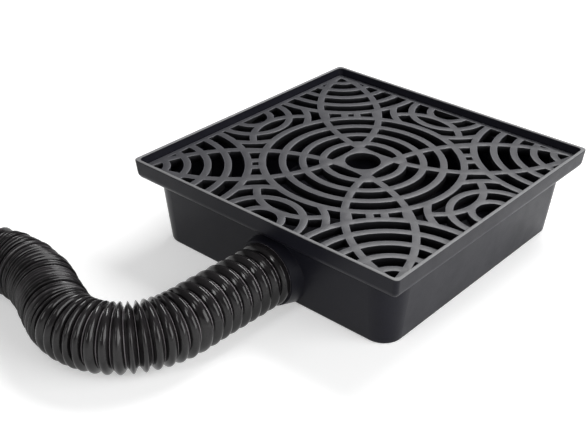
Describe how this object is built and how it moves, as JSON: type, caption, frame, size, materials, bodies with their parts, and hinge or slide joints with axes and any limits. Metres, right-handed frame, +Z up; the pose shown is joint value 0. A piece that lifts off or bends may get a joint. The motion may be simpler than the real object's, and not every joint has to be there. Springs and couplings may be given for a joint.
{
  "type": "catch basin with downspout hose",
  "caption": "Low square catch basin with an ornamental drop-in grate of crossing rings, fed by a ribbed flexible hose from a square downspout adapter.",
  "frame": {"origin": "centre of the basin's base, on the ground", "axes": "+Z up; the hose leaves the basin's -Y wall and lies along the ground towards -X"},
  "size_m": [0.7009, 0.7339, 0.121],
  "materials": {
    "basin_plastic": "satin black moulded plastic",
    "grate_plastic": "satin black moulded plastic",
    "hose_plastic": "glossy black ribbed plastic",
    "adapter_plastic": "satin black moulded plastic"
  },
  "bodies": {
    "root": {"catch_basin": "basin_plastic", "grate": "grate_plastic", "hose": "hose_plastic", "downspout_adapter": "adapter_plastic"}
  },
  "joints": []
}
